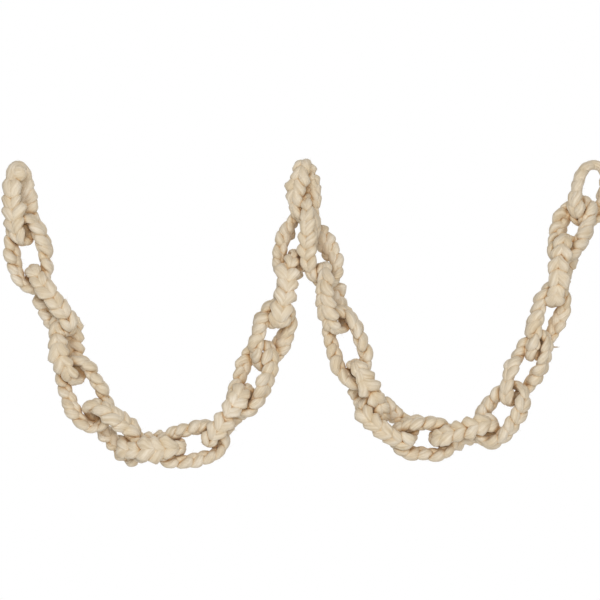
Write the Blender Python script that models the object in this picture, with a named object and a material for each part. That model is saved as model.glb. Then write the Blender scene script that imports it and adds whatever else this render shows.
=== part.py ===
"""Crochet chain garland: rings of chunky crochet chain, linked and hung in two swags.

Every ring is one closed piece of crochet: a flat, soft cord of chain stitches joined end to end
through its neighbour. The middle ring and the two end rings hang; the others hang in them.

Frame: metres, +Z up, +X to the right along the garland, +Y away from the viewer.
The origin is the top of the middle ring, where it hangs.
"""

from collections import namedtuple

import bmesh
import bpy
import numpy as np
from mathutils import Vector
from mathutils.bvhtree import BVHTree

MM = 0.001              # the sizes and tables below are in millimetres and degrees

# The crocheted cord is flat like a braid. Its V face looks away from the ring's middle.
CORD_THICK = 20.0       # in the ring's plane
CORD_WIDE = 29.0
PINCH = 0.80            # what is left of both where a neighbour squeezes the cord, at a ring's ends
STITCHES = 14           # chain stitches in one ring
STEPS = 2               # sections of the solid along one stitch
SPOTS = 4               # points of the centreline along one stitch
BOXY = 0.82             # under 1 a ring's sides are straighter and its ends blunter than an ellipse's

GAP = 0.8               # between rings that press on each other
GIVE = 0.96             # share of its size that the soft cord keeps where a neighbour presses on it
GIVE_SHARED = 0.84      # the same in the middle ring, which holds two rings
MIDDLE_SHARE = 0.2      # of a push between it and a neighbour, that the taut middle ring takes

YARN_COLOUR = (0.72, 0.60, 0.45, 1.0)
YARN_ROUGHNESS = 0.95

# Points round the cord: "out" from the ring's middle and "side" along its normal, as shares of half
# the thickness and half the width; "ahead" along the cord and "swell" with each stitch, as shares.
CordPoint = namedtuple("CordPoint", "out side ahead swell")
CORD_POINTS = [
    CordPoint(0.66, 0.00, -0.30, -0.06),    # furrow between the legs of the V
    CordPoint(0.98, 0.56, 0.00, 0.07),      # leg
    CordPoint(0.22, 1.00, 0.20, 0.09),      # flank
    CordPoint(-0.72, 0.66, 0.10, 0.04),
    CordPoint(-0.98, 0.00, 0.00, -0.08),    # bump at the back
    CordPoint(-0.72, -0.66, 0.10, 0.04),
    CordPoint(0.22, -1.00, 0.20, 0.09),     # the other flank
    CordPoint(0.98, -0.56, 0.00, 0.07),     # the other leg
]

# One row for each ring, outwards from the middle ring. A ring's long axis runs from its first end,
# in the ring before it, to its last end; both are outer ends. depth is its middle's place in Y and
# tilt takes the last end away from the viewer. The two turns are about the long axis: 0 shows the
# ring's face, 90 its edge, and between the ends it twists from one to the other. bow pushes both
# sides over, and flare, a share, narrows the first half and widens the last.
Ring = namedtuple("Ring", "name first_x first_z last_x last_z depth tilt turn_first turn_last width bow flare",
                  defaults=[0.0])

MIDDLE = Ring("ring_middle", -2, 0, 0, -89, 0, 0, 76, 46, 52, 0)

LEFT_SWAG = [
    Ring("ring_left_01", -4, -57, -21, -163, 4, 0, -30, -10, 50, 0),
    Ring("ring_left_02", -20, -122, -36, -230, 0, 0, 84, 92, 60, 0),
    Ring("ring_left_03", -38, -189, -65, -284, 0, 15, 15, 40, 52, 0),
    Ring("ring_left_04", -51, -248, -86, -350, 0, 0, -40, -15, 56, 0),
    Ring("ring_left_05", -80, -304, -135, -392, 0, 0, 72, 90, 60, 0),
    Ring("ring_left_06", -109, -370, -206, -391, 0, 0, 0, 0, 62, 0),
    Ring("ring_left_07", -161, -396, -256, -391, 0, 0, 90, 102, 60, 0),
    Ring("ring_left_08", -214, -403, -293, -328, 0, 0, 42, 52, 62, 0),
    Ring("ring_left_09", -273, -366, -311, -266, 0, 0, 0, 12, 62, 0),
    Ring("ring_left_10", -319, -306, -326, -205, 0, 0, -58, -54, 57, 9),
    Ring("ring_left_11", -329, -240, -374, -145, 0, 0, 60, 68, 59, 0),
    Ring("ring_left_12", -361, -178, -380, -73, 0, 0, 10, 20, 59, 0),
    Ring("ring_left_13", -386, -118, -391, -2, 0, 0, -60, -58, 64, 0),
]

RIGHT_SWAG = [
    Ring("ring_right_01", 3, -60, 34, -178, 5, 0, 84, 35, 59, 0),
    Ring("ring_right_02", 18, -139, 44, -236, 0, 0, 62, 40, 69, 0),
    Ring("ring_right_03", 41, -201, 73, -308, 0, 0, -20, 5, 51, 0),
    Ring("ring_right_04", 68, -271, 104, -359, 0, 10, 105, 118, 60, 0),
    Ring("ring_right_05", 75, -326, 148, -383, 0, 5, 50, 55, 58, 0),
    Ring("ring_right_06", 113, -374, 207, -376, 0, 0, -15, 0, 57, 0),
    Ring("ring_right_07", 167, -386, 263, -362, 0, 0, 108, 116, 60, 0),
    Ring("ring_right_08", 236, -384, 292, -302, 0, 0, 20, 25, 62, 0),
    Ring("ring_right_09", 268, -331, 326, -231, 0, 0, -40, 35, 47, 0),
    Ring("ring_right_10", 300, -274, 337, -165, 0, 0, -48, -10, 48, 0),
    Ring("ring_right_11", 336, -200, 349, -99, 0, 0, -68, -64, 60, 0),
    Ring("ring_right_12", 339, -142, 373, -50, -6, 10, 15, 35, 57, 0),
    Ring("ring_right_13", 386, -89, 399, 0, 4, 0, -35, -15, 59, 0),
]


def unit(rows):
    return rows / np.linalg.norm(rows, axis=-1)[..., None]


def closed_steps(loop):
    """Each point's direction along a closed loop."""
    return unit(np.roll(loop, -1, axis=0) - np.roll(loop, 1, axis=0))


def evenly(loop, extras, count):
    """A closed loop, and values that go with its points, at equal steps of its length."""
    closed = np.vstack([loop, loop[:1]])
    walked = np.concatenate([[0.0], np.cumsum(np.linalg.norm(np.diff(closed, axis=0), axis=1))])
    places = np.arange(count) * walked[-1] / count
    table = np.hstack([closed, np.vstack([extras, extras[:1]])])
    even = np.stack([np.interp(places, walked, column) for column in table.T], axis=1)
    return even[:, :loop.shape[1]], even[:, loop.shape[1]:]


class Cord:
    """The cord of one ring: its centreline, the ring's normal along it, and its pinch."""

    def __init__(self, ring):
        self.name = ring.name
        first = np.array([ring.first_x, 0.0, ring.first_z])
        last = np.array([ring.last_x, 0.0, ring.last_z])
        away = np.array([0.0, 1.0, 0.0])
        seen = np.linalg.norm(last - first)
        flat = (last - first) / seen
        tilt = np.radians(ring.tilt)
        axis = flat * np.cos(tilt) + away * np.sin(tilt)
        deep = away * np.cos(tilt) - flat * np.sin(tilt)
        level = np.array([-flat[2], 0.0, flat[0]])
        middle = (first + last) / 2 + away * ring.depth

        angle = np.linspace(0.0, 2 * np.pi, 720, endpoint=False)
        reach = -np.sign(np.cos(angle)) * np.abs(np.cos(angle)) ** BOXY
        bulge = np.sign(np.sin(angle)) * np.abs(np.sin(angle)) ** BOXY
        along = (seen / np.cos(tilt) - CORD_THICK * PINCH) / 2 * reach
        across = ((ring.width - CORD_THICK) / 2 * (1 + ring.flare * reach) * bulge
                  + ring.bow * (1 - reach ** 2))
        turn = np.radians(ring.turn_first + (ring.turn_last - ring.turn_first) * (reach + 1) / 2)
        span = np.cos(turn)[:, None] * level + np.sin(turn)[:, None] * deep
        centre = middle + along[:, None] * axis + across[:, None] * span
        normal = np.cross(axis, span)
        pinch = PINCH + (1 - PINCH) * np.minimum(1.0, 1.6 * (1 - np.abs(reach)) ** 0.7)
        self.centre, extras = evenly(centre, np.hstack([normal, pinch[:, None]]), STITCHES * SPOTS)
        self.normal, self.pinch = unit(extras[:, :3]), extras[:, 3]
        self.drawn = self.centre.copy()
        self.squeezed = np.ones(STITCHES * STEPS)
        self.frame()

    def frame(self):
        """The directions across the cord: side, nearest the ring's normal, and out."""
        ahead = closed_steps(self.centre)
        self.side = unit(self.normal - np.sum(self.normal * ahead, axis=1)[:, None] * ahead)
        self.out = np.cross(self.side, ahead)

    def half_size(self, way):
        """Half the cord's size in given directions, one row of them for each point."""
        out = np.einsum("ijk,ik->ij", way, self.out) * CORD_THICK
        side = np.einsum("ijk,ik->ij", way, self.side) * CORD_WIDE
        return np.hypot(out, side) / 2 * self.pinch[:, None]

    def read(self, values, places):
        """Values along the cord at places counted in points of the centreline."""
        count = len(values)
        wrapped = np.vstack([values, values[:1]])
        places = np.mod(places, count)
        return np.stack([np.interp(places, np.arange(count + 1), column) for column in wrapped.T], axis=1)

    def surface(self):
        """Surface points: a row for each section, a column for each point round it."""
        number = np.arange(STITCHES * STEPS)
        lump = np.cos(2 * np.pi * number / STEPS)[:, None]
        columns = []
        for point in CORD_POINTS:
            places = (number / STEPS + point.ahead) * SPOTS
            centre, out, side, pinch = [self.read(values, places) for values in
                                        (self.centre, self.out, self.side, self.pinch[:, None])]
            size = self.squeezed[:, None] * pinch * (1 + point.swell * lump) / 2
            columns.append(centre + size * (out * point.out * CORD_THICK + side * point.side * CORD_WIDE))
        return np.stack(columns, axis=1)


def press(one, two, give):
    """How far apart to push the points of each of two cords so that neither reaches into the other."""
    way = two.centre[None, :, :] - one.centre[:, None, :]
    distance = np.linalg.norm(way, axis=2)
    way /= distance[:, :, None]
    room = one.half_size(way) + two.half_size(way.transpose(1, 0, 2)).T
    short = room * give + GAP - distance
    pushes = []
    for axis, sign in ((1, -1.0), (0, 1.0)):
        worst = short.argmax(axis=axis)
        rows = np.arange(len(worst))
        pick = (rows, worst) if axis == 1 else (worst, rows)
        pushes.append(sign * np.maximum(short[pick], 0.0)[:, None] * way[pick])
    return pushes


def ease(cords, pairs):
    """Bends the cords round each other, smoothly and as little as it takes."""
    passes = 300
    for step in range(passes):
        hold = np.array([0.10, 0.01, 0.10]) * (1 - step / passes)
        moved = {cord.name: cord.centre - cord.drawn for cord in cords}
        for one, two, give in pairs:
            part = MIDDLE_SHARE if one.name == MIDDLE.name else 0.5
            for cord, push, share in zip((one, two), press(one, two, give), (part, 1 - part)):
                moved[cord.name] = moved[cord.name] + push * share
        for cord in cords:
            bend = moved[cord.name]
            for reach in (1, 2, 3):
                bend = (bend + 0.5 * (np.roll(bend, reach, axis=0) + np.roll(bend, -reach, axis=0))) / 2
            cord.centre = cord.drawn + bend * (1 - hold)
            cord.frame()


def surface_faces(rows, columns):
    """Triangles between neighbouring points of a surface that closes both ways."""
    faces = []
    for i in range(rows):
        for j in range(columns):
            i2, j2 = (i + 1) % rows, (j + 1) % columns
            corner, right, across, up = i * columns + j, i * columns + j2, i2 * columns + j2, i2 * columns + j
            faces += [(corner, right, across), (corner, across, up)]
    return faces


FACES = surface_faces(STITCHES * STEPS, len(CORD_POINTS))
SHARES = [(i / 3, j / 3, (3 - i - j) / 3) for i in range(4) for j in range(4 - i)]


def crowd(surface, other, core):
    """How far each section of one surface lies inside its gap to another, and the least gap.

    The core is the centreline of the other cord, to tell its inside from its outside."""
    tree = BVHTree.FromPolygons([Vector(p) for p in other.reshape(-1, 3)], FACES)
    corners = np.array(FACES)
    spots = np.einsum("sk,fkx->fsx", np.array(SHARES), surface.reshape(-1, 3)[corners])
    low, high = other.min(axis=(0, 1)) - GAP, other.max(axis=(0, 1)) + GAP
    close = np.all((spots > low) & (spots < high), axis=2)
    rows = corners // surface.shape[1]
    needed = np.zeros(len(surface))
    least = np.inf
    for face, share in zip(*np.nonzero(close)):
        spot = spots[face, share]
        inner = core[np.linalg.norm(core - spot, axis=1).argmin()]
        near, normal, _, gap = tree.find_nearest(Vector(spot))
        near = np.array(near)
        if (spot - near) @ normal < 0 and np.linalg.norm(spot - inner) < np.linalg.norm(near - inner):
            gap = -gap
        least = min(least, gap)
        needed[rows[face]] = np.maximum(needed[rows[face]], GAP - gap)
    return needed, least


def squeeze(cords, pairs):
    """Makes the cords a little thinner where they still press on each other."""
    while pairs:
        surfaces = {cord.name: cord.surface() for cord in cords}
        pressed = []
        for one, two, give in pairs:
            gaps = []
            for a, b in ((one, two), (two, one)):
                needed, gap = crowd(surfaces[a.name], surfaces[b.name], b.centre)
                spread = np.maximum(needed, 0.7 * np.maximum(np.roll(needed, 1), np.roll(needed, -1)))
                a.squeezed -= spread / (3 * CORD_THICK)
                gaps.append(gap)
            if min(gaps) < GAP * 0.8:
                pressed.append((one, two, give))
        pairs = pressed


def yarn_material():
    material = bpy.data.materials.new("cream_yarn")
    material.use_nodes = True
    shader = material.node_tree.nodes["Principled BSDF"]
    shader.inputs["Base Color"].default_value = YARN_COLOUR
    shader.inputs["Roughness"].default_value = YARN_ROUGHNESS
    material.diffuse_color = YARN_COLOUR
    return material


def make_object(name, points, material):
    """One ring as a Blender object, its origin at its middle."""
    middle = points.mean(axis=0)
    mesh = bpy.data.meshes.new(name)
    mesh.from_pydata(((points - middle) * MM).tolist(), [], FACES)
    tidy = bmesh.new()
    tidy.from_mesh(mesh)
    bmesh.ops.recalc_face_normals(tidy, faces=tidy.faces)
    tidy.to_mesh(mesh)
    tidy.free()
    mesh.materials.append(material)
    mesh.shade_smooth()
    ring = bpy.data.objects.new(name, mesh)
    ring.location = Vector(middle * MM)
    bpy.context.collection.objects.link(ring)


def main():
    for item in list(bpy.data.objects):
        bpy.data.objects.remove(item)
    middle = Cord(MIDDLE)
    swags = [[Cord(row) for row in swag] for swag in (LEFT_SWAG, RIGHT_SWAG)]
    cords = [middle] + swags[0] + swags[1]
    pairs = [(swags[0][0], swags[1][0], GIVE_SHARED)]
    for swag in swags:
        pairs.append((middle, swag[0], GIVE_SHARED))
        pairs += [(one, two, GIVE) for one, two in zip(swag, swag[1:])]
    ease(cords, pairs)
    squeeze(cords, pairs)
    surfaces = {cord.name: cord.surface().reshape(-1, 3) for cord in cords}
    top = np.array([0.0, 0.0, surfaces[middle.name][:, 2].max()])
    material = yarn_material()
    for cord in cords:
        make_object(cord.name, surfaces[cord.name] - top, material)


main()
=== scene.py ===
"""Looks for the crochet chain garland: each ring worked as a real chain of stitches in thick soft yarn.

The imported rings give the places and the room; every ring's yarn is laid along its own CAD cord.
Metres, +Z up, seen along +Y.
"""

import math
from collections import namedtuple

import bpy
import numpy as np
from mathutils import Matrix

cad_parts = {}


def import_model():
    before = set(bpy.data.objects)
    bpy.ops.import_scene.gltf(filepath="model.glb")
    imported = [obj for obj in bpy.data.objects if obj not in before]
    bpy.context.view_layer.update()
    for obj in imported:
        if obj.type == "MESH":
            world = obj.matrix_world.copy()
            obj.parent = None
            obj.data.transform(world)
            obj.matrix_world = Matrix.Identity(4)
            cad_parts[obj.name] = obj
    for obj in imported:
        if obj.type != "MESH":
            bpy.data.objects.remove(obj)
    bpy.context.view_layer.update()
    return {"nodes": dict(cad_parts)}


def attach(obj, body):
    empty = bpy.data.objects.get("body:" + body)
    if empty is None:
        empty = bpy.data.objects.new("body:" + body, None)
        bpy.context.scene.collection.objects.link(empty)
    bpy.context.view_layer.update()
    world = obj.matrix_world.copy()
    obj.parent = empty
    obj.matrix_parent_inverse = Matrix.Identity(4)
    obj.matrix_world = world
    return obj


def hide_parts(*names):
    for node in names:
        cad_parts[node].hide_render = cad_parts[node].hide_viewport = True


MM = 0.001

# The CAD cord's grid and its plain half sizes, which the stitches are drawn for.
SECTIONS = 28
SPOTS_ROUND = 8
HALF_THICK = 10.0
HALF_WIDE = 14.0
CORD_SPOTS = 16         # spots of the laid cord to each of its sections
WELD = 0.01             # points of the node's mesh this near, in mm, are one

PITCH = 16.4            # one stitch along the cord
YARN_RADIUS = 7.1
BEND_SPOTS = 12         # spots of the yarn's way from one bend to the next
SAMPLES_PER_STITCH = 36
SIDES = 14
FLAT = 0.84             # how far the stitches are pressed flat against the cord
NARROW = 0.95           # and how far they are drawn together across it
SUNK = 2.2              # how far they lie toward the ring's inside
SEED = 700              # of the first ring's uneven stitches; each ring has the next one

# One stitch of the chain: the yarn comes up from the back inside the stitch before it, spreads as one
# arm of the V, dives under the next stitch's arms and comes back as the other arm; then it crosses
# the back as a single bump. ahead counts stitches, side and out are shares of the half sizes.
Bend = namedtuple("Bend", "ahead side out thick")
ARM = [
    Bend(0.14, 0.08, -0.27, 0.88),
    Bend(0.30, 0.09, 0.09, 0.96),
    Bend(0.46, 0.14, 0.38, 1.05),
    Bend(0.67, 0.33, 0.48, 1.13),
    Bend(0.88, 0.55, 0.34, 1.13),
    Bend(1.06, 0.61, 0.03, 1.06),
    Bend(1.22, 0.42, -0.22, 0.96),
]
HEAD = Bend(1.31, 0.00, -0.29, 0.88)
BACK = [
    Bend(0.28, 0.10, -0.46, 0.98),
    Bend(0.60, 0.00, -0.50, 1.12),
    Bend(0.92, -0.10, -0.44, 0.98),
]

# How uneven the stitches are, as one standard deviation: along, aside, how proud of the cord, how fat
# and how open; and their bumps at the back, along and proud.
UNEVEN_ALONG = 0.09
UNEVEN_ASIDE = 0.09
UNEVEN_PROUD = 0.12
UNEVEN_FAT = 0.08
UNEVEN_OPEN = 0.17
UNEVEN_BACK = (0.03, 0.04)

# Where a ring's stitches are drawn out smooth: how far past its top the middle of that place is and how
# far it reaches each way, as shares of the ring's length, and how much fatter the yarn is there.
Smooth = namedtuple("Smooth", "past_top reach gain")
SMOOTH = {"ring_left_13": Smooth(0.0, 0.19, 0.52), "ring_right_13": Smooth(-0.12, 0.19, 0.24)}
SMOOTH_SIDE = 0.85      # how much of a stitch's spread and of its height is gone in the middle of it
SMOOTH_OUT = 0.90

# Rings whose two sides hang drawn together, and by how much more than SUNK; less than 0 is drawn apart.
DRAWN_IN = {"ring_middle": 5.5, "ring_left_13": 4.0, "ring_left_10": 4.0, "ring_left_07": 2.5,
            "ring_right_09": 2.0, "ring_right_10": 3.0, "ring_right_12": 3.0, "ring_right_13": -4.0}

# How far the chain rolls about its cord, in degrees: every ring by its own share of ROLL, then to and
# fro by SWAY.
ROLL = 34.0
SWAY = 16.0

# The streaks' twist in radians a mm along the yarn, and the yarn's lumps: how high as a share of its
# radius, how many round it and how many radians a mm along it.
TWIST = 0.045
Lump = namedtuple("Lump", "height round along")
LUMPS = [Lump(0.030, 2, 0.11), Lump(0.022, 3, -0.07), Lump(0.018, 5, 0.0), Lump(0.030, 0, 0.23)]

FIBRES_PER_RING = 1100
FIBRE_LENGTH = (2.0, 6.0)
FIBRE_RADIUS = (0.07, 0.13)
FIBRE_RISE = 0.55       # how steeply it leaves the yarn, beside its run along it
FIBRE_STRAY = 0.25
FIBRE_CURL = 0.35
FIBRE_DROOP = 0.25      # how much of its length it bends back to the yarn
FIBRE_ROOT = 0.4        # how deep it starts under the surface, in mm
HAIR_SPOTS = 3          # points along one fibre
HAIR_TAPER = 0.8

# A tuft of pulled yarn: on which ring, at what height in metres, how long, how wide and of how many
# wisps, in mm.
Tuft = namedtuple("Tuft", "ring height length width count")
TUFT = Tuft("ring_right_10", -0.256, 14.0, 3.0, 6)
WISP_RADIUS = (0.7, 1.2)
WISP_SHARE = (0.45, 1.0)    # how much of the tuft's length a wisp has
WISP_SPREAD = (0.3, 1.0, 1.0)
WISP_ROOT = (1.5, 0.0, 0.0)
WISP_STRAY = 0.9
WISP_CURL = 0.04
TUFT_LEAN = (-1.0, 1.0)     # how far its point lies along y and up from its root
TUFT_BAND = 2.0             # points within this of its height are level with it

# The yarn's tucked-in end: on which ring, how far below its top, how far from the ring's front there,
# and its half sizes, all in mm.
Bud = namedtuple("Bud", "ring below past half")
BUD = Bud("ring_left_13", 18.0, (7.5, 5.2, 0.0), (10.0, 7.0, 11.0))
BUD_ROWS = 9
BUD_SIDES = 16
BUD_CAP = 0.08          # radians from each pole to its first row
BUD_BAND = 1.5          # points within this of its height are level with it

# The yarn's look, with painted shade in its creases and hollows. Tones are (position, colour) stops;
# depths and the bump's height are in metres.
WHITE = (1.0, 1.0, 1.0)
STREAK_STRETCH = (0.09, 1.0, 1.0)
STREAK_SCALE = 0.36
STREAK_TONES = [(0.30, (0.560, 0.462, 0.332)), (0.66, (0.755, 0.682, 0.568))]
CLOUD_SCALE = 55.0
CLOUD_TONES = [(0.30, (0.91, 0.855, 0.75)), (0.70, WHITE)]
# Painted shade in the creases between stitches: where the yarn is shut in within this depth, its colour
# is made darker and browner.
PAINTED_CREASE_SHADE_DEPTH = 0.009
PAINTED_CREASE_SHADE = [(0.12, (0.97, 0.72, 0.43)), (0.46, (0.985, 0.885, 0.72)), (0.86, WHITE)]
# Painted shade in the hollows between the rings and their bands: browner where the yarn is shut in within
# this wider depth.
PAINTED_HOLLOW_SHADE_DEPTH = 0.040
PAINTED_HOLLOW_SHADE = [(0.18, (0.79, 0.66, 0.52)), (0.52, WHITE)]
BUMP_STRENGTH = 0.55
BUMP_HEIGHT = 0.0015
FLOOR_TONES = [(0.0, (0.86, 0.86, 0.85)), (1.0, (0.90, 0.90, 0.89))]

# The floor, far below the garland: its height, radius and corners.
FLOOR_HEIGHT = -1.0
FLOOR_RADIUS = 2.4
FLOOR_CORNERS = 96

# The lights, which all aim at the garland's middle, and the surround's share as a light.
Lamp = namedtuple("Lamp", "name place size power tint")
LAMPS = [
    Lamp("key", (-0.7, -3.1, 1.3), 1.6, 34.0, (1.0, 0.99, 0.97)),
    Lamp("front", (0.3, -3.4, 0.0), 1.0, 49.0, (1.0, 0.99, 0.98)),
    Lamp("back", (0.9, 3.2, 1.0), 1.8, 64.0, (1.0, 0.99, 0.98)),
]
AIM = (0.0, 0.0, -0.2)
AMBIENT = 0.40

# The camera: straight on, with this much of the garland's plane from side to side in view.
CAMERA_PLACE = (-0.0081, -3.0, -0.19035)
CAMERA_VIEW = 0.810
SENSOR = 36.0           # mm


def unit(rows):
    """Rows scaled to length one."""
    return rows / np.linalg.norm(rows, axis=-1, keepdims=True)


def grid_of(node):
    """The node's points as sections along the cord, found by walking straight through its mesh."""
    mesh = node.data
    raw = np.array([vertex.co[:] for vertex in mesh.vertices])
    keys = {}
    index = [keys.setdefault(tuple(row), len(keys)) for row in np.round(raw / (WELD * MM)).astype(int)]
    points = np.zeros((len(keys), 3))
    points[index] = raw
    after = {}
    for face in mesh.polygons:
        a, b, c = [index[i] for i in face.vertices]
        for one, two, three in ((a, b, c), (b, c, a), (c, a, b)):
            after.setdefault(one, {})[two] = three

    def straight(start, second):
        """The loop that leaves start for second and goes straight on at every point."""
        loop = [start, second]
        while True:
            here = after[loop[-1]]
            step = loop[-2]
            for _ in range(3):
                step = here[step]
            if step == loop[0]:
                return loop
            loop.append(step)

    for second in after[0]:
        round_loop = straight(0, second)
        if len(round_loop) == SPOTS_ROUND:
            break
    for second in after[0]:
        long_loop = straight(0, second)
        if len(long_loop) == SECTIONS:
            break
    grid = np.zeros((SECTIONS, SPOTS_ROUND), int)
    for column, start in enumerate(round_loop):
        others = [s for s in after[start] if len(straight(start, s)) == SECTIONS]
        runs = [straight(start, s) for s in others]
        if column == 0:
            run = long_loop
        else:
            run = min(runs, key=lambda r: np.linalg.norm(points[r[1]] - points[grid[1, column - 1]]))
        grid[:, column] = run
    return points[grid]


def frames_of(grid):
    """Centre, out, side, half thickness and half width at each section of a ring's cord."""
    centre = grid.mean(axis=1)
    ahead = unit(np.roll(centre, -1, 0) - np.roll(centre, 1, 0))
    outward = unit(centre - centre.mean(axis=0))
    reach = np.einsum("ijk,ik->j", grid - centre[:, None], outward)
    front = int(np.argmax(reach + np.roll(reach, 1) + np.roll(reach, -1)))
    side = sum(grid[:, (front + n) % SPOTS_ROUND] - grid[:, (front - n) % SPOTS_ROUND] for n in (1, 2, 3))
    side = unit(side - np.sum(side * ahead, axis=1)[:, None] * ahead)
    out = np.cross(side, ahead)
    if np.sum(out * outward) < 0:
        out = -out
    spread = grid - centre[:, None]
    across = np.einsum("ijk,ik->ij", spread, side)
    deep = np.einsum("ijk,ik->ij", spread, out)
    half_wide = (across.max(axis=1) - across.min(axis=1)) / 2
    half_thick = (deep.max(axis=1) - deep.min(axis=1)) / 2
    return centre, out, side, half_thick, half_wide


def smooth_loop(rows, dense, lap=0.0):
    """Catmull-Rom values of a closed row, dense of them to each row; lap is what one time round adds."""
    count = len(rows)
    places = np.arange(count * dense) / dense
    low = np.floor(places).astype(int)
    t = (places - low)[:, None]
    a, b, c, d = [rows[(low + n) % count] + np.floor_divide(low + n, count)[:, None] * lap
                  for n in (-1, 0, 1, 2)]
    return 0.5 * (2 * b + (c - a) * t + (2 * a - 5 * b + 4 * c - d) * t ** 2
                  + (3 * b - a - 3 * c + d) * t ** 3)


def run_of(points):
    """How far along it each of a row of points lies."""
    steps = np.linalg.norm(np.diff(points[:, :3], axis=0), axis=1)
    return np.concatenate([[0.0], np.cumsum(steps)])


def circle(count):
    """Evenly spaced angles once round."""
    return np.arange(count) * 2 * np.pi / count


def chain_path(stitches, rng, arch):
    """The yarn's way through a straight chain of stitches: (ahead, side, out, thick) rows, closed.

    arch is None or the smooth place's (middle, reach, gain), in stitches."""
    rows = []
    for number in range(stitches):
        loose = rng.normal(0.0, 1.0, 8)
        shift, lean, proud = UNEVEN_ALONG * loose[0], UNEVEN_ASIDE * loose[1], UNEVEN_PROUD * loose[2]
        fat = 1 + UNEVEN_FAT * loose[3]
        open_left, open_right = 1 + UNEVEN_OPEN * loose[4:6]
        back_shift, back_proud = UNEVEN_BACK * loose[6:8]
        arms = []
        for bend in ARM:
            raised = bend.out + proud * (bend.out > 0)
            for way, wide in ((-1, open_left), (1, open_right)):
                arms.append((number + bend.ahead + shift, way * bend.side * wide + lean, raised,
                             bend.thick * fat))
        head = (number + HEAD.ahead + shift, HEAD.side + lean, HEAD.out, HEAD.thick * fat)
        rows += arms[::2] + [head] + arms[::-2]
        rows += [(number + bend.ahead + back_shift, bend.side, bend.out + back_proud, bend.thick)
                 for bend in BACK]
    rows = np.array(rows)
    if arch:
        middle, reach, gain = arch
        away = np.mod(rows[:, 0] - middle + stitches / 2, stitches) - stitches / 2
        smooth = np.exp(-(away / reach) ** 4)
        rows[:, 1] *= 1 - SMOOTH_SIDE * smooth
        rows[:, 2] *= 1 - SMOOTH_OUT * smooth
        rows[:, 3] += (1 + gain - rows[:, 3]) * smooth
    rolled, phase, laps = rng.uniform(-1, 1), rng.uniform(0, 2 * np.pi), rng.integers(1, 3)
    roll = np.radians(ROLL * rolled + SWAY * np.sin(2 * np.pi * laps * rows[:, 0] / stitches + phase))
    side, out = rows[:, 1].copy(), rows[:, 2].copy()
    rows[:, 1] = side * np.cos(roll) - out * np.sin(roll)
    rows[:, 2] = side * np.sin(roll) + out * np.cos(roll)
    return rows


def yarn_points(stitches, length, rng, arch):
    """The yarn's surface in straight-chain coordinates (ahead, side, out in mm) with its run and turn."""
    rows = chain_path(stitches, rng, arch)
    control = rows * [length / stitches, HALF_WIDE, HALF_THICK, 1.0]
    lap = np.array([length, 0.0, 0.0, 0.0])
    path = smooth_loop(control, BEND_SPOTS, lap)

    closed = np.vstack([path, path[:1] + lap])
    run = run_of(closed)
    total = stitches * SAMPLES_PER_STITCH
    wanted = np.arange(total) * run[-1] / total
    even = np.stack([np.interp(wanted, run, column) for column in closed.T], axis=1)

    spot, thick = even[:, :3], even[:, 3]
    ahead = unit(np.vstack([spot[1:], spot[:1] + lap[:3]]) - np.vstack([spot[-1:] - lap[:3], spot[:-1]]))
    first = unit(np.cross(ahead[0], [0.3, 1.0, 0.2]))
    carried = [first]
    for number in range(1, total + 1):
        way = ahead[number % total]
        last = carried[-1]
        carried.append(unit(last - np.dot(last, way) * way))
    ends = carried.pop()
    carried = np.array(carried)
    other = np.cross(ahead, carried)
    slip = math.atan2(np.dot(ends, other[0]), np.dot(ends, carried[0]))
    turn = circle(SIDES)[None, :] - slip * (np.arange(total) / total)[:, None]

    twist = turn + wanted[:, None] * TWIST
    drift = rng.uniform(0, 2 * np.pi, len(LUMPS))
    lumps = sum(lump.height * np.sin(lump.round * twist + lump.along * wanted[:, None] + start)
                for lump, start in zip(LUMPS, drift))
    radius = YARN_RADIUS * thick[:, None] * (1 + lumps)
    surface = (spot[:, None] + radius[:, :, None] * (np.cos(turn)[:, :, None] * carried[:, None]
                                                      + np.sin(turn)[:, :, None] * other[:, None]))
    fibre = np.stack([np.broadcast_to(wanted[:, None], twist.shape), np.cos(twist) * YARN_RADIUS,
                      np.sin(twist) * YARN_RADIUS], axis=2)
    return surface, fibre


def tube_faces(rows, sides):
    """Quads of a closed tube of rows by sides points."""
    i, j = np.meshgrid(np.arange(rows), np.arange(sides), indexing="ij")
    i, j = i.ravel(), j.ravel()
    a = i * sides + j
    b = i * sides + (j + 1) % sides
    c = (i + 1) % rows * sides + (j + 1) % sides
    d = (i + 1) % rows * sides + j
    return np.stack([a, b, c, d], axis=1)


def open_tube_faces(rows, sides):
    """Quads of an open tube of rows by sides points, and its two ends."""
    faces = []
    for i in range(rows - 1):
        for j in range(sides):
            k = (j + 1) % sides
            faces.append((i * sides + j, i * sides + k, (i + 1) * sides + k, (i + 1) * sides + j))
    first, last = range(sides), range((rows - 1) * sides, rows * sides)
    return faces + [tuple(reversed(first)), tuple(last)]


class Lay:
    """A ring's CAD cord, to lay straight-chain points along."""

    def __init__(self, node):
        centre, out, side, half_thick, half_wide = frames_of(grid_of(node) / MM)
        long_way = np.linalg.svd(centre - centre.mean(axis=0))[2][0]
        sunk = (SUNK + DRAWN_IN.get(node.name, 0.0)) * (1 - (unit(out) @ long_way) ** 2)
        packed = np.hstack([centre - out * sunk[:, None], out, side, half_thick[:, None],
                            half_wide[:, None]])
        dense = smooth_loop(packed, CORD_SPOTS)
        self.rows = np.vstack([dense, dense[:1]])
        self.run = run_of(self.rows)
        self.length = self.run[-1]

    def top(self):
        """How far along the cord its highest place is."""
        return self.run[np.argmax(self.rows[:, 2])]

    def place(self, points):
        """Straight-chain points (ahead, side, out) as points in space."""
        along = np.mod(points[:, 0], self.length)
        at = np.stack([np.interp(along, self.run, column) for column in self.rows.T], axis=1)
        out = unit(at[:, 3:6]) * (points[:, 2] * at[:, 9] / HALF_THICK * FLAT)[:, None]
        side = unit(at[:, 6:9]) * (points[:, 1] * at[:, 10] / HALF_WIDE * NARROW)[:, None]
        return at[:, :3] + out + side


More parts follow.
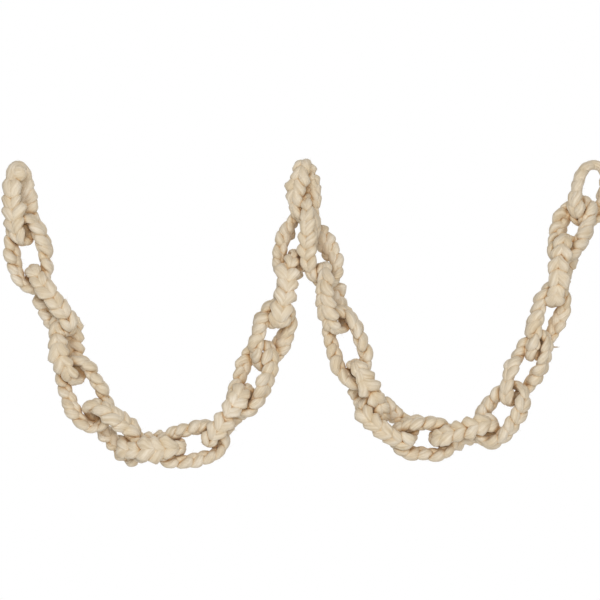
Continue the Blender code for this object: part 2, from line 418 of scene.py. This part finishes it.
def hair(start, way, curl, length, radius):
    """A fine fibre as a tapered three-sided tube: points and faces."""
    steps = np.linspace(0.0, 1.0, HAIR_SPOTS)
    spine = start + way * (length * steps)[:, None] + curl * (length * steps ** 2)[:, None]
    ahead = unit(spine[-1] - spine[0])
    one = unit(np.cross(ahead, [0.37, 0.51, 0.78]))
    two = np.cross(ahead, one)
    angle = circle(3)
    ring = np.cos(angle)[:, None] * one + np.sin(angle)[:, None] * two
    points = spine[:, None] + ring[None] * (radius * (1.0 - HAIR_TAPER * steps))[:, None, None]
    return points.reshape(-1, 3), open_tube_faces(HAIR_SPOTS, 3)


def tuft(grid, rng):
    """Wisps that run together to a point, out from the right side of a ring: (points, faces) pairs."""
    spots = grid.reshape(-1, 3)
    level = spots[np.abs(spots[:, 2] - TUFT.height / MM) < TUFT_BAND]
    foot = level[np.argmax(level[:, 0])]
    tip = foot + np.array([TUFT.length, *TUFT_LEAN])
    pairs = []
    for _ in range(TUFT.count):
        start = foot + rng.normal(0.0, TUFT.width / 2, 3) * WISP_SPREAD - WISP_ROOT
        reach = tip - start + rng.normal(0.0, WISP_STRAY, 3)
        length = np.linalg.norm(reach) * rng.uniform(*WISP_SHARE)
        curl = rng.normal(0, WISP_CURL, 3)
        pairs.append(hair(start, unit(reach), curl, length, rng.uniform(*WISP_RADIUS)))
    return pairs


def bud(grid):
    """A round end of yarn, half sunk into the front of a ring's arch: points and faces."""
    spots = grid.reshape(-1, 3)
    level = spots[np.abs(spots[:, 2] - (spots[:, 2].max() - BUD.below)) < BUD_BAND]
    middle = level[np.argmin(level[:, 1])] + BUD.past
    tilt = np.linspace(BUD_CAP, np.pi - BUD_CAP, BUD_ROWS)[:, None]
    turn = circle(BUD_SIDES)
    ball = np.stack([np.sin(tilt) * np.cos(turn), np.sin(tilt) * np.sin(turn),
                     np.cos(tilt) * np.ones_like(turn)], axis=2)
    points = (middle + ball * BUD.half).reshape(-1, 3)
    return points, [face[::-1] for face in open_tube_faces(BUD_ROWS, BUD_SIDES)]


def loose_fibres(grid, rng):
    """Fine fibres that leave the yarn at random places of its surface: (points, faces) pairs."""
    rows, sides = grid.shape[:2]
    ahead = unit(np.roll(grid, -1, 0) - np.roll(grid, 1, 0))
    round_way = unit(np.roll(grid, -1, 1) - np.roll(grid, 1, 1))
    normal = np.cross(round_way, ahead)
    core = grid.mean(axis=1, keepdims=True)
    normal *= np.sign(np.sum(normal * (grid - core)))
    pairs = []
    for place in zip(rng.integers(0, rows, FIBRES_PER_RING), rng.integers(0, sides, FIBRES_PER_RING)):
        way = unit(normal[place] * FIBRE_RISE + ahead[place] * rng.normal(0, 1.0)
                   + rng.normal(0, FIBRE_STRAY, 3))
        curl = rng.normal(0, FIBRE_CURL, 3) - normal[place] * FIBRE_DROOP
        start = grid[place] - normal[place] * FIBRE_ROOT
        pairs.append(hair(start, way, curl, rng.uniform(*FIBRE_LENGTH), rng.uniform(*FIBRE_RADIUS)))
    return pairs


def make_ring(name, node, number, material):
    """One ring's yarn, in place of its CAD node."""
    rng = np.random.default_rng(SEED + number)
    lay = Lay(node)
    stitches = round(lay.length / PITCH)
    turned = number % 2 == 1        # every other ring is worked the other way round
    arch = None
    if node.name in SMOOTH:
        past_top, reach, gain = SMOOTH[node.name]
        middle = (lay.top() / lay.length + past_top) * stitches
        arch = (-middle if turned else middle, reach * stitches, gain)
    surface, fibre = yarn_points(stitches, lay.length, rng, arch)
    rows, sides = surface.shape[:2]
    if turned:
        surface = surface * [-1.0, -1.0, 1.0]
    spots = lay.place(surface.reshape(-1, 3))
    faces = tube_faces(rows, sides).tolist()
    grid = spots.reshape(rows, sides, 3)

    pairs = tuft(grid, rng) if node.name == TUFT.ring else []
    if node.name == BUD.ring:
        pairs.append(bud(grid))
    pairs += loose_fibres(grid, rng)
    start = len(spots)
    for points, local in pairs:
        faces += [tuple(corner + start for corner in face) for face in local]
        start += len(points)
    own = len(spots)
    spots = np.vstack([spots] + [points for points, _ in pairs])
    fibre = np.vstack([fibre.reshape(-1, 3), spots[own:]])

    mesh = bpy.data.meshes.new(name)
    mesh.from_pydata((spots * MM).tolist(), [], faces)
    mesh.polygons.foreach_set("use_smooth", [True] * len(mesh.polygons))
    run_data = mesh.attributes.new("fibre", "FLOAT_VECTOR", "POINT")
    run_data.data.foreach_set("vector", fibre.reshape(-1).astype(np.float32))
    mesh.materials.append(material)
    mesh.update()
    ring = bpy.data.objects.new(name, mesh)
    bpy.context.scene.collection.objects.link(ring)
    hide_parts(node.name)
    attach(ring, "root")


def noise(nodes, scale):
    """A noise texture of one size."""
    node = nodes.new("ShaderNodeTexNoise")
    node.inputs["Scale"].default_value = scale
    return node


def ramp(nodes, links, source, stops):
    """The colours that a socket's value stands for, from (position, colour) stops."""
    node = nodes.new("ShaderNodeValToRGB")
    elements = node.color_ramp.elements
    for element, (position, colour) in ((elements[0], stops[0]), (elements[1], stops[-1])):
        element.position = position
        element.color = (*colour, 1.0)
    for position, colour in stops[1:-1]:
        elements.new(position).color = (*colour, 1.0)
    links.new(source, node.inputs["Fac"])
    return node.outputs["Color"]


def multiply(nodes, links, one, two):
    """Two colours multiplied."""
    node = nodes.new("ShaderNodeMix")
    node.data_type = "RGBA"
    node.blend_type = "MULTIPLY"
    node.inputs["Factor"].default_value = 1.0
    links.new(one, node.inputs["A"])
    links.new(two, node.inputs["B"])
    return node.outputs["Result"]


def openness(nodes, distance):
    """How open a place is to what lies within a distance, from 0 to 1."""
    node = nodes.new("ShaderNodeAmbientOcclusion")
    node.samples = 6
    node.inputs["Distance"].default_value = distance
    return node.outputs["AO"]


def yarn_material():
    """Undyed cream roving: its fibres run along the yarn, with painted shade that makes it browner deep
    between the stitches and in the hollows between rings.
    """
    material = bpy.data.materials.new("cream_yarn")
    material.use_nodes = True
    nodes, links = material.node_tree.nodes, material.node_tree.links
    shader = nodes["Principled BSDF"]
    shader.inputs["Roughness"].default_value = 0.93
    shader.inputs["Specular IOR Level"].default_value = 0.18
    shader.inputs["Sheen Weight"].default_value = 0.25
    shader.inputs["Sheen Roughness"].default_value = 0.6
    shader.inputs["Sheen Tint"].default_value = (1.0, 0.93, 0.82, 1.0)

    fibre = nodes.new("ShaderNodeAttribute")
    fibre.attribute_name = "fibre"
    stretch = nodes.new("ShaderNodeMapping")
    stretch.inputs["Scale"].default_value = STREAK_STRETCH
    links.new(fibre.outputs["Vector"], stretch.inputs["Vector"])
    streak = noise(nodes, STREAK_SCALE)
    streak.inputs["Detail"].default_value = 5.0
    streak.inputs["Roughness"].default_value = 0.62
    links.new(stretch.outputs["Vector"], streak.inputs["Vector"])
    colour = ramp(nodes, links, streak.outputs["Fac"], STREAK_TONES)

    place = nodes.new("ShaderNodeTexCoord")
    cloud = noise(nodes, CLOUD_SCALE)
    cloud.inputs["Detail"].default_value = 3.0
    links.new(place.outputs["Object"], cloud.inputs["Vector"])
    colour = multiply(nodes, links, colour, ramp(nodes, links, cloud.outputs["Fac"], CLOUD_TONES))

    # Painted shade: the colour is multiplied darker and browner where little is open around it, in the
    # creases between stitches and the hollows between rings.
    for distance, tones in ((PAINTED_CREASE_SHADE_DEPTH, PAINTED_CREASE_SHADE), (PAINTED_HOLLOW_SHADE_DEPTH, PAINTED_HOLLOW_SHADE)):
        shade = ramp(nodes, links, openness(nodes, distance), tones)
        colour = multiply(nodes, links, colour, shade)
    links.new(colour, shader.inputs["Base Color"])

    bump = nodes.new("ShaderNodeBump")
    bump.inputs["Strength"].default_value = BUMP_STRENGTH
    bump.inputs["Distance"].default_value = BUMP_HEIGHT
    links.new(streak.outputs["Fac"], bump.inputs["Height"])
    links.new(bump.outputs["Normal"], shader.inputs["Normal"])
    return material


def floor_material():
    """A plain pale floor with a faint mottle."""
    material = bpy.data.materials.new("pale_floor")
    material.use_nodes = True
    nodes, links = material.node_tree.nodes, material.node_tree.links
    shader = nodes["Principled BSDF"]
    shader.inputs["Roughness"].default_value = 0.8
    mottle = noise(nodes, 3.0)
    links.new(ramp(nodes, links, mottle.outputs["Fac"], FLOOR_TONES), shader.inputs["Base Color"])
    return material


def make_floor():
    """A pale disc far below the garland."""
    angle = circle(FLOOR_CORNERS)
    rim = np.stack([np.cos(angle) * FLOOR_RADIUS, np.sin(angle) * FLOOR_RADIUS,
                    np.full(FLOOR_CORNERS, FLOOR_HEIGHT)], axis=1)
    mesh = bpy.data.meshes.new("floor")
    mesh.from_pydata(rim.tolist(), [], [list(range(FLOOR_CORNERS))])
    mesh.materials.append(floor_material())
    floor = bpy.data.objects.new("floor", mesh)
    bpy.context.scene.collection.objects.link(floor)


def make_light(lamp):
    """A soft round light aimed at the garland's middle."""
    data = bpy.data.lights.new(lamp.name, "AREA")
    data.shape = "DISK"
    data.size = lamp.size
    data.energy = lamp.power
    data.color = lamp.tint
    light = bpy.data.objects.new(lamp.name, data)
    light.location = lamp.place
    way = np.array(AIM) - np.array(lamp.place)
    yaw = math.atan2(way[0], way[1])
    pitch = math.atan2(way[2], math.hypot(way[0], way[1]))
    light.rotation_euler = (math.pi / 2 + pitch, 0.0, -yaw)
    bpy.context.scene.collection.objects.link(light)


def make_world():
    """A white surround, dimmer as a light than it looks."""
    world = bpy.data.worlds.new("studio")
    world.use_nodes = True
    nodes, links = world.node_tree.nodes, world.node_tree.links
    seen = nodes["Background"]
    seen.inputs["Color"].default_value = (*WHITE, 1.0)
    seen.inputs["Strength"].default_value = 1.0
    lit = nodes.new("ShaderNodeBackground")
    lit.inputs["Color"].default_value = (*WHITE, 1.0)
    lit.inputs["Strength"].default_value = AMBIENT
    path = nodes.new("ShaderNodeLightPath")
    mix = nodes.new("ShaderNodeMixShader")
    links.new(path.outputs["Is Camera Ray"], mix.inputs["Fac"])
    links.new(lit.outputs["Background"], mix.inputs[1])
    links.new(seen.outputs["Background"], mix.inputs[2])
    links.new(mix.outputs["Shader"], nodes["World Output"].inputs["Surface"])
    bpy.context.scene.world = world


def make_camera():
    """Straight on, at the height of the garland's middle."""
    lens = bpy.data.cameras.new("camera")
    lens.sensor_width = SENSOR
    lens.lens = SENSOR * -CAMERA_PLACE[1] / CAMERA_VIEW
    lens.clip_end = 50.0
    camera = bpy.data.objects.new("camera", lens)
    camera.location = CAMERA_PLACE
    camera.rotation_euler = (math.pi / 2, 0.0, 0.0)
    bpy.context.scene.collection.objects.link(camera)
    bpy.context.scene.camera = camera


def main():
    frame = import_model()
    material = yarn_material()
    for number, (name, node) in enumerate(sorted(frame["nodes"].items())):
        make_ring("yarn_" + name, node, number, material)

    make_floor()
    make_world()
    for lamp in LAMPS:
        make_light(lamp)
    make_camera()
    view = bpy.context.scene.view_settings
    view.view_transform = "Standard"
    view.look = "None"


main()
